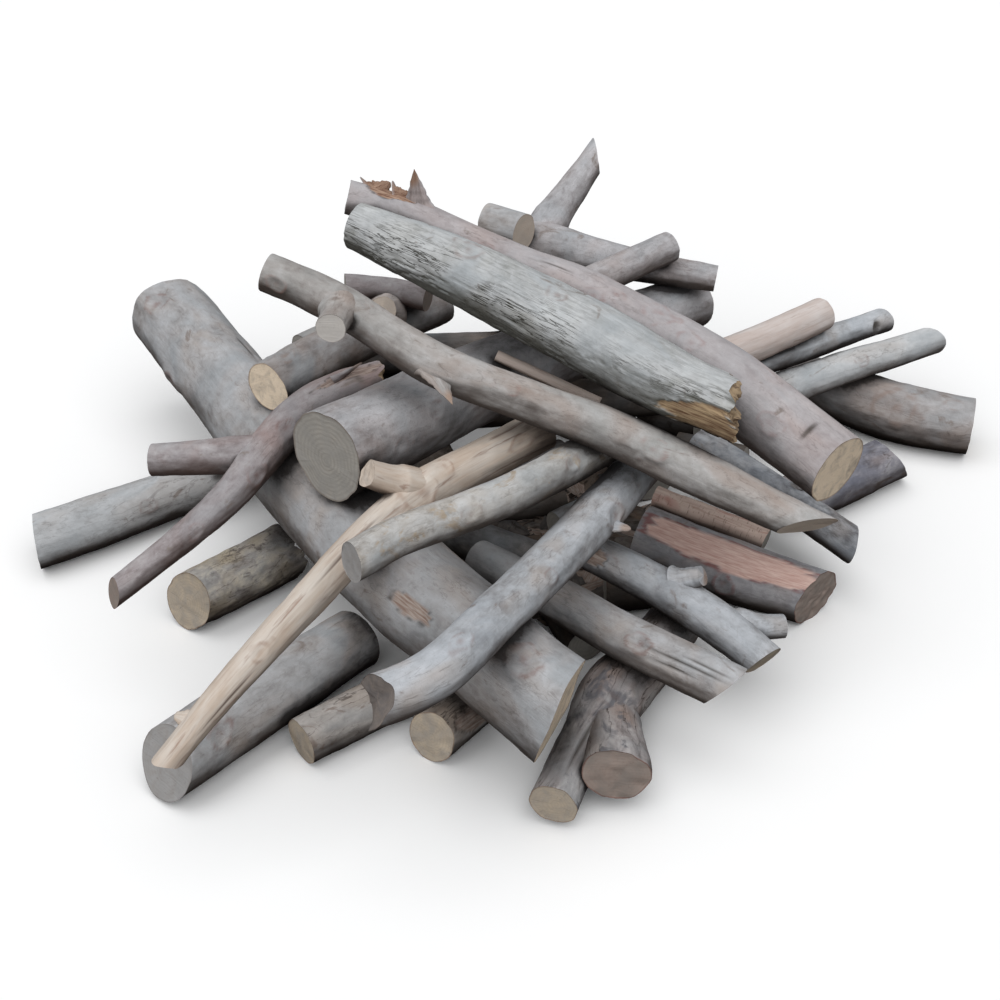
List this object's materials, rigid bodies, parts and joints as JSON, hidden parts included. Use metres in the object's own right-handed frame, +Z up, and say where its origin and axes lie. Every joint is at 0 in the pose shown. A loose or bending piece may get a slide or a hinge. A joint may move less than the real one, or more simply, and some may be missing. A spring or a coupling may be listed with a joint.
{
  "type": "heap of firewood logs",
  "caption": "Loose heap of cut branch firewood: straight, bent and forked logs with grey bark and sawn ends, piled criss-cross.",
  "frame": {"origin": "middle of the heap's footprint, on the ground under it", "axes": "+Z up; +X to the right of the heap seen from its front, -Y"},
  "size_m": [1.0632, 0.8308, 0.352],
  "materials": {
    "grey_bark": "smooth grey bark with knots, sawn ends",
    "blue_grey_bark": "weathered blue-grey bark, sawn ends",
    "brown_bark": "brown-grey bark, damp and dark below",
    "pinkish_bark": "smooth pinkish-grey bark",
    "cracked_bark": "grey bark with long dark cracks, tan splintered end",
    "mottled_bark": "blotched brown and grey bark",
    "reddish_split_wood": "split reddish wood and bark",
    "peeled_wood": "pale peeled wood with streaks of inner bark"
  },
  "bodies": {
    "root": {"back_cross_log": "brown_bark", "back_fork_arm": "grey_bark", "back_fork_stem": "grey_bark", "back_peeled_slat": "peeled_wood", "back_short_log": "brown_bark", "back_small_log": "grey_bark", "big_log": "grey_bark", "blue_grey_log": "blue_grey_bark", "cross_log_back": "brown_bark", "cross_log_front": "brown_bark", "curved_branch": "grey_bark", "dark_blue_log": "blue_grey_bark", "front_left_log": "grey_bark", "front_mottled_log": "mottled_bark", "front_tan_log": "mottled_bark", "ground_log_left": "brown_bark", "ground_log_right": "brown_bark", "hooked_branch": "grey_bark", "inner_back_log": "brown_bark", "inner_brown_log": "brown_bark", "inner_dark_log": "blue_grey_bark", "inner_far_log": "brown_bark", "inner_grey_log": "grey_bark", "inner_lower_log": "mottled_bark", "inner_mottled_log": "mottled_bark", "inner_right_log": "mottled_bark", "left_fork": "brown_bark", "left_fork_arm": "brown_bark", "left_log": "grey_bark", "long_grey_branch": "brown_bark", "long_pink_log": "pinkish_bark", "mottled_sawn_log": "mottled_bark", "notched_stick": "grey_bark", "pale_back_log": "blue_grey_bark", "pale_twig": "peeled_wood", "peeled_fork": "peeled_wood", "peeled_fork_stub": "peeled_wood", "pink_split_log": "reddish_split_wood", "prop_log_left": "brown_bark", "prop_log_right": "brown_bark", "reddish_back_log": "reddish_split_wood", "ribbed_slat": "reddish_split_wood", "right_fork_arm": "grey_bark", "right_fork_log": "grey_bark", "right_long_stick": "grey_bark", "right_lower_log": "grey_bark", "right_thick_log": "blue_grey_bark", "root_log": "mottled_bark", "root_prong": "mottled_bark", "sawn_knob": "brown_bark", "sawn_stub": "brown_bark", "tan_sawn_log": "brown_bark", "thick_sawn_log": "grey_bark", "top_bark_log": "cracked_bark"}
  },
  "joints": []
}
